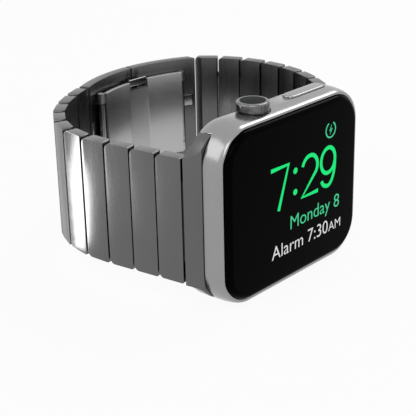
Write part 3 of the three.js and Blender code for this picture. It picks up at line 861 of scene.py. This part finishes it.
def plate(name, outline, depth):
    """A plate across Z cut to an outline. Each stop is a point, with the two handles of the
    curve that leads to it where that stretch is curved."""
    curve = bpy.data.curves.new(name, "CURVE")
    curve.dimensions = "2D"
    curve.fill_mode = "BOTH"
    curve.extrude = depth / 2
    curve.resolution_u = 16
    line = curve.splines.new("BEZIER")
    line.bezier_points.add(len(outline) - 1)
    line.use_cyclic_u = True
    for stop, (point, *_) in zip(line.bezier_points, outline):
        stop.handle_left_type = stop.handle_right_type = "FREE"
        stop.co = stop.handle_left = stop.handle_right = (*point, 0)
    for i, (_, *handles) in enumerate(outline):
        if handles:
            line.bezier_points[i - 1].handle_right = (*handles[0], 0)
            line.bezier_points[i].handle_left = (*handles[1], 0)
    piece = bpy.data.objects.new(name, curve)
    scene.collection.objects.link(piece)
    bpy.ops.object.select_all(action="DESELECT")
    piece.select_set(True)
    bpy.context.view_layer.objects.active = piece
    bpy.ops.object.convert(target="MESH")
    piece = bpy.context.object
    with on_bench(piece):
        bpy.ops.mesh.select_all(action="SELECT")
        bpy.ops.mesh.remove_doubles(threshold=1e-4)
        bpy.ops.mesh.normals_make_consistent(inside=False)
    return piece


def lug(side):
    ahead = towards(LUG_HEADING[side])
    out = towards(LUG_HEADING[side] + 90)
    outer = LUG_PIVOT - ahead * SEAM + out * BAND_HALF_THICKNESS
    middle = LUG_PIVOT - ahead * SEAM - out * 0.3
    inner = LUG_PIVOT - ahead * SEAM_RELIEF - out * BAND_HALF_THICKNESS
    front, rear = SLOT_FRONT + 0.15, SLOT_BACK - 0.15
    bow = Vector((-22.6, -5.25))
    shoulder = Vector((-21.2, front))
    body = plate(f"lug_{side}_end", [
        ((-SLOT_X - 0.2, front),),
        (shoulder,),
        (outer, shoulder.lerp(bow, 2 / 3), outer.lerp(bow, 2 / 3)),
        (middle,),
        (inner,),
        ((-20.9, rear),),
        ((-SLOT_X - 0.2, rear),),
    ], 34)
    flare = plate("flare", [
        ((-SLOT_X, LUG_TIP),),
        ((-24.6, BAND_HALF_WIDTH), (-20.6, 15.8), (-21.2, 12.9)),
        ((-24.6, -BAND_HALF_WIDTH),),
        ((-SLOT_X, -LUG_TIP), (-21.2, -12.9), (-20.6, -15.8)),
    ], 24)
    flare.data.transform(Matrix.Rotation(math.pi / 2, 4, "X"))
    combine(body, "INTERSECT", [flare])
    break_edges(body, 0.28, 4, 40)
    cut_away(
        body,
        block("release_notch", (-19.3, -5, -3.9), (-18, -3, 3.9)),
        rod("pocket", LUG_PIVOT, POCKET_RADIUS, -EYE_HALF_LENGTH - 0.3, EYE_HALF_LENGTH + 0.3, 32),
    )
    weld_on(body, rod("pin", LUG_PIVOT, PIN_RADIUS, -PIN_HALF_LENGTH, PIN_HALF_LENGTH, 24))
    if side == "right":
        body.data.transform(Matrix.Diagonal((-1, 1, 1, 1)))
        body.data.flip_normals()
    return body


# The lugs share the links' steel tone, far below bare steel's. The darkening is painted shade,
# standing in for darker surroundings in their reflections.
lug_steel_painted_shade = finish(
    "lug_steel_painted_shade", (0.115, 0.115, 0.117), (0.15, 0.15, 0.151), (0.20, 0.30),
    stretch_by=(1, 1, 0.02), grain=7000, cloud=70, relief=0.0005, Metallic=1.0)
for side in ("left", "right"):
    piece = settle(lug(side))
    fit(piece, lug_steel_painted_shade, "case", "polished", f"lug_{side}")

# ---- Band release buttons -------------------------------------------------------------------
# A small pill in each end of the case's back, which is pressed to let its lug slide out.

RELEASE_HALF = (0.7, 3.5)
RELEASE_DEPTH = (-3.6, -1.75)

for side, way in (("left", -1), ("right", 1)):
    x, (half, reach), (inside, face) = RELEASE_X * way, RELEASE_HALF, RELEASE_DEPTH
    release = rounded_block(
        f"release_{side}", (x - half, inside, -reach), (x + half, face, reach), 1, half - 0.01)
    with on_bench(release):
        pick(release, "EDGE", lies_at(1, face))
        bevel(0.2, 4)
    settle(release)
    fit(release, polished_steel_painted_shade, f"band_release_{side}", "polished", f"band_release_{side}")

# ---- Bracelet links -------------------------------------------------------------------------
# Solid steel links, brushed across the band, each with an eye that turns in the pocket of the
# link before it. Their outer edges and corners are rounded, so that small notches show between
# them along the band's edges.

PITCH = 5.87
BAND_ROUND = 0.45
NEAR_CORNER = 0.35
FAR_CORNER = 1.2
OPEN_GAP = 1.1
CLASP_CENTRE = Vector((11.8, 16.9))
CLASP_LEAN = math.radians(2.5)
CLASP_RADIUS = 32.6
CLASP_HALF_ANGLE = math.radians(31.5)


def link_blank(name, open_slant=None):
    """A link from its own pivot at the origin to the next one along +X, its outside up +Y."""
    t, w = BAND_HALF_THICKNESS, BAND_HALF_WIDTH
    piece = block(name, (SEAM, -t, -w), (PITCH - SEAM, t, w))
    with on_bench(piece):
        for end, corner in ((SEAM, NEAR_CORNER), (PITCH - SEAM, FAR_CORNER)):
            pick(piece, "EDGE", lambda e: runs_along(1)(e) and lies_at(0, end)(e))
            bevel(corner, 6)
        pick(piece, "EDGE", lambda e: runs_along(0)(e) and e.verts[0].co.y > 0)
        bevel(BAND_ROUND, 8)
        for end, way in ((SEAM, -1), (PITCH - SEAM, 1)):
            slope = (SEAM_RELIEF - SEAM) / (t - 0.3)
            slice_off((end, -0.3, 0), (way, -slope, 0))
        if open_slant is not None:
            lean = math.tan(open_slant)
            middle = PITCH - OPEN_GAP * 0.35 / math.cos(open_slant)
            slice_off((middle, 0, 0), (1, -lean, 0))
    break_edges(piece, 0.12, 3, 40)
    weld_on(piece, rod("eye", (0, 0), EYE_RADIUS, -EYE_HALF_LENGTH, EYE_HALF_LENGTH, 32))
    cut_away(piece, rod("bore", (0, 0), BORE_RADIUS, -EYE_HALF_LENGTH - 1, EYE_HALF_LENGTH + 1, 32))
    if open_slant is None:
        cut_away(piece, rod("pocket", (PITCH, 0), POCKET_RADIUS,
                            -EYE_HALF_LENGTH - 0.3, EYE_HALF_LENGTH + 0.3, 32))
        weld_on(piece, rod("pin", (PITCH, 0), PIN_RADIUS, -PIN_HALF_LENGTH, PIN_HALF_LENGTH, 24))
    return piece


def pivot_of(joint_name):
    joint = next(j for j in frame["joints"] if j["name"] == joint_name)
    return Vector(joint["pos_m"][:2]) / MM


def on_clasp(radius, angle):
    """A point in the clasp's own frame, which is centred on its arc and leans to the right."""
    return Vector((radius * math.sin(angle), radius * math.cos(angle)))


# The links' steel grey is set far below bare steel's. The darkening is painted shade, standing in
# for darker surroundings in their reflections.
brushed_steel_painted_shade = finish(
    "brushed_steel_painted_shade", (0.115, 0.115, 0.117), (0.15, 0.15, 0.151), (0.22, 0.32),
    stretch_by=(1, 1, 0.02), grain=9000, cloud=70, relief=0.0006, Metallic=1.0)

left_pivots = [pivot_of(f"link_left_{i}_hinge") for i in range(1, 11)]
left_pivots.append(pivot_of("clasp_cover_left_hinge"))
right_pivots = [pivot_of(f"link_right_{i}_hinge") for i in range(1, 10)]
right_pivots.append(CLASP_CENTRE + on_clasp(CLASP_RADIUS, CLASP_LEAN + CLASP_HALF_ANGLE))
last_run = right_pivots[-1] - right_pivots[-2]
open_slant = math.pi - CLASP_LEAN - math.atan2(last_run.y, last_run.x)
plain_link = link_blank("link_blank")
open_link = link_blank("open_link_blank", open_slant)

for side, pivots in (("left", left_pivots), ("right", right_pivots)):
    for i, (near, far) in enumerate(zip(pivots, pivots[1:]), 1):
        name = f"link_{side}_{i}"
        pattern = open_link if name == "link_right_9" else plain_link
        piece = bpy.data.objects.new(f"band_{name}", pattern.data.copy())
        scene.collection.objects.link(piece)
        run = far - near
        settle(piece, near, math.atan2(run.y, run.x), over=side == "right")
        fit(piece, brushed_steel_painted_shade, name, "link", name)
bpy.data.objects.remove(plain_link)
bpy.data.objects.remove(open_link)

# ---- Clasp covers ---------------------------------------------------------------------------
# Two curved steel covers carry the bracelet's line over the folding clasp. Each has ears for a
# blade on its wrist side and a pocket for the key that lets the first link go.

COVER_HINGE = (30.95, math.radians(2.4), 0.6)
BLADE_HINGE = (30.3, math.radians(24), 0.75)
BLADE_HALF_WIDTH = 7.5
KEY_ANGLE = math.radians(27.8)
KEY_WIDTH = 2.2
KEY_ENDS = (0.8, 3.5)
KEY_FIT = 0.15


def bent_bar(name, inner, outer, half_width, start, end, round_by, steps=24):
    """A bar bent about the clasp's centre, its outer long edges rounded."""
    bpy.ops.object.select_all(action="DESELECT")
    bpy.ops.mesh.primitive_plane_add(size=1, rotation=(0, math.pi / 2, 0))
    piece = bpy.context.object
    piece.name = name
    bpy.ops.object.transform_apply(location=True, rotation=True, scale=True)
    with on_bench(piece):
        bpy.ops.mesh.select_all(action="SELECT")
        stretch((1, outer - inner, 2 * half_width), (0, 0, 0))
        bpy.ops.transform.translate(value=(0, (inner + outer) / 2, 0))
        for place, width, count in ((outer, round_by, 6), (inner, min(0.15, round_by), 2)):
            pick(piece, "VERT", lambda v: abs(v.co.y - place) < 1e-4)
            bpy.ops.mesh.bevel(offset=width, segments=count, affect="VERTICES", clamp_overlap=False)
        bpy.ops.mesh.select_all(action="SELECT")
        bpy.ops.mesh.spin(steps=steps, angle=end - start, center=(0, 0, 0), axis=(0, 0, 1))
        bpy.ops.mesh.select_all(action="SELECT")
        bpy.ops.mesh.remove_doubles(threshold=1e-4)
        bpy.ops.mesh.normals_make_consistent(inside=False)
    piece.data.transform(Matrix.Rotation(-start, 4, "Z"))
    return piece


def ears_on(body, at, barrel, low, high):
    """Room for a blade's barrel, an ear on each side of it, and the pin across both."""
    gap = rod("gap", at, barrel + 0.2, -BLADE_HALF_WIDTH - 0.2, BLADE_HALF_WIDTH + 0.2, 32)
    cut_away(body, gap)
    weld_on(
        body,
        rod("ear", at, barrel, low, high, 32),
        rod("ear", at, barrel, -high, -low, 32),
        rod("pin", at, barrel * 0.5, -low - 0.2, low + 0.2, 24),
    )


def key_block(name, way, width, low, high, inner, outer):
    """A small rectangular block set in a cover at the key's angle."""
    piece = block(name, (-width / 2, inner, low), (width / 2, outer, high))
    piece.data.transform(Matrix.Rotation(-way * KEY_ANGLE, 4, "Z"))
    return piece


def clasp_cover(way, name):
    t = BAND_HALF_THICKNESS
    seam = SEAM / CLASP_RADIUS
    ends = (-CLASP_HALF_ANGLE + seam, -seam) if way < 0 else (seam, CLASP_HALF_ANGLE + 0.05)
    body = bent_bar(
        name, CLASP_RADIUS - t, CLASP_RADIUS + t, BAND_HALF_WIDTH, *ends, BAND_ROUND, 28)
    if way > 0:
        end = on_clasp(CLASP_RADIUS, CLASP_HALF_ANGLE).x - OPEN_GAP * 0.65
        cut_away(body, block("end_cut", (end, 20, -13), (end + 5, 36, 13)))
    break_edges(body, 0.12, 2, 60)
    if way < 0:
        near = on_clasp(CLASP_RADIUS, -CLASP_HALF_ANGLE)
        weld_on(body, rod("eye", near, EYE_RADIUS, -EYE_HALF_LENGTH, EYE_HALF_LENGTH, 32))
        cut_away(body, rod("bore", near, BORE_RADIUS, -8.9, 8.9, 32))
    radius, angle, barrel = COVER_HINGE
    ears_on(body, on_clasp(radius, way * angle), barrel, BLADE_HALF_WIDTH + 0.2, 9.3)
    cut_away(body, key_block("key_pocket", way, KEY_WIDTH + 2 * KEY_FIT, KEY_ENDS[0] - KEY_FIT,
                             KEY_ENDS[1] + KEY_FIT, 31.0, 32.5))
    return body


for side, way in (("left", -1), ("right", 1)):
    cover = clasp_cover(way, f"cover_{side}")
    settle(cover, CLASP_CENTRE, -CLASP_LEAN)
    fit(cover, brushed_steel_painted_shade, f"clasp_cover_{side}", "link", f"clasp_cover_{side}")

# ---- Link release keys ----------------------------------------------------------------------
# A small polished key in each cover, pushed from the wrist side to draw a link's pin.

for side, way in (("left", -1), ("right", 1)):
    key = key_block(f"release_key_{side}", way, KEY_WIDTH, *KEY_ENDS, 31.35, 32.05)
    break_edges(key, 0.1, 3)
    settle(key, CLASP_CENTRE, -CLASP_LEAN)
    fit(key, polished_steel_painted_shade, f"link_release_{side}", "polished", f"link_release_{side}")

# ---- Clasp blades and plate -----------------------------------------------------------------
# Thin spring-steel blades fold between the covers and a wide polished plate that lies against
# the wrist.

BLADE_RADII = (30.4, 31.1)
PLATE_RADII = (29.0, 30.1)
PLATE_HALF_WIDTH = 10
COVER_END_GAP = 0.0052
PLATE_END_GAP = 0.0105
PAD_OPENING = 2.7

for side, way in (("left", -1), ("right", 1)):
    turns = sorted((way * (COVER_HINGE[1] + COVER_END_GAP), way * (BLADE_HINGE[1] - PLATE_END_GAP)))
    blade = bent_bar(f"blade_{side}", *BLADE_RADII, BLADE_HALF_WIDTH, *turns, 0.2, 16)
    for radius, angle, barrel in (COVER_HINGE, BLADE_HINGE):
        at = on_clasp(radius, way * angle)
        weld_on(blade, rod("barrel", at, barrel, -BLADE_HALF_WIDTH, BLADE_HALF_WIDTH, 32))
        cut_away(blade, rod("bore", at, barrel * 0.5 + 0.125, -9, 9, 24))
    settle(blade, CLASP_CENTRE, -CLASP_LEAN)
    fit(blade, polished_steel_painted_shade, f"clasp_blade_{side}", "polished", f"clasp_blade_{side}")

mirror_steel = finish(
    "mirror_steel", (0.42, 0.42, 0.423), (0.50, 0.50, 0.50), (0.30, 0.40),
    grain=1500, cloud=90, relief=0.0005, Metallic=1.0)
reach = BLADE_HINGE[1] - PLATE_END_GAP
clasp_plate = bent_bar("wrist_plate", *PLATE_RADII, PLATE_HALF_WIDTH, -reach, reach, 0.3, 36)
for way in (-1, 1):
    radius, angle, barrel = BLADE_HINGE
    ears_on(clasp_plate, on_clasp(radius, way * angle), barrel, BLADE_HALF_WIDTH + 0.2, 9.9)
    low, high = sorted((8 * way, 11 * way))
    cut_away(clasp_plate, block("button_slot", (-PAD_OPENING, 28, low), (PAD_OPENING, 31, high)))
settle(clasp_plate, CLASP_CENTRE, -CLASP_LEAN)
fit(clasp_plate, mirror_steel, "clasp_plate", "polished", "clasp_plate")

# ---- Clasp buttons --------------------------------------------------------------------------
# A pad on each edge of the plate. Squeezed together, they free the blades.

PAD_HALF_LENGTH = 2.5
PAD_RADII = (29.15, 29.95)
PAD_REACH = (8.9, 10.5)

for side, way in (("top", 1), ("bottom", -1)):
    low, high = sorted(way * reach for reach in PAD_REACH)
    pad = block(f"squeeze_pad_{side}", (-PAD_HALF_LENGTH, PAD_RADII[0], low),
                (PAD_HALF_LENGTH, PAD_RADII[1], high))
    break_edges(pad, 0.15, 3)
    settle(pad, CLASP_CENTRE, -CLASP_LEAN)
    fit(pad, polished_steel_painted_shade, f"clasp_button_{side}", "polished", f"clasp_button_{side}")

# ---- Inside the case ------------------------------------------------------------------------
# The parts that the closed case hides keep their machined shapes and get their own finishes:
# seal, screen, boards, coil, battery, motor, speaker, microphone, and the crown's shaft parts.

INNER_FINISHES = {
    "glass_seal": ("seal_rubber", (0.008,) * 3, (0.02,) * 3, (0.6, 0.85), {}),
    "display_panel": ("panel_black", (0.006,) * 3, (0.012,) * 3, (0.2, 0.4), {}),
    "sensor_board": ("sensor_resist", (0.01, 0.07, 0.03), (0.02, 0.11, 0.05), (0.35, 0.55), {}),
    "logic_board": ("board_resist", (0.01, 0.06, 0.03), (0.02, 0.10, 0.05), (0.35, 0.55), {}),
    "charging_coil": ("coil_copper", (0.50, 0.20, 0.09), (0.70, 0.32, 0.16), (0.25, 0.4),
                      {"Metallic": 1.0}),
    "battery": ("battery_wrap", (0.02, 0.022, 0.026), (0.04, 0.042, 0.05), (0.4, 0.6), {}),
    "haptic_motor": ("motor_can", (0.40,) * 3, (0.52,) * 3, (0.3, 0.45), {"Metallic": 1.0}),
    "speaker": ("speaker_plastic", (0.015,) * 3, (0.03,) * 3, (0.5, 0.7), {}),
    "microphone": ("microphone_can", (0.55, 0.42, 0.20), (0.70, 0.56, 0.30), (0.3, 0.45),
                   {"Metallic": 1.0}),
    "crown_bush": ("bush_plastic", (0.01,) * 3, (0.02,) * 3, (0.45, 0.6), {}),
    "crown_clip": ("clip_steel", (0.35,) * 3, (0.48,) * 3, (0.3, 0.45), {"Metallic": 1.0}),
    "crown_shaft": ("shaft_steel", (0.38,) * 3, (0.50,) * 3, (0.2, 0.32), {"Metallic": 1.0}),
    "crown_encoder": ("encoder_plastic", (0.015,) * 3, (0.03,) * 3, (0.5, 0.65), {}),
    "side_switch": ("switch_plastic", (0.015,) * 3, (0.03,) * 3, (0.5, 0.65), {}),
}
for node, (name, dark, light, roughness, fixed) in INNER_FINISHES.items():
    skin = finish(name, dark, light, roughness, grain=2500, cloud=250, relief=0.002, **fixed)
    frame["nodes"][node].data.materials.clear()
    frame["nodes"][node].data.materials.append(skin)

# ---- Sizes ----------------------------------------------------------------------------------
# The box of the machined model and the box of the finished one, which have to agree.

low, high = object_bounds()
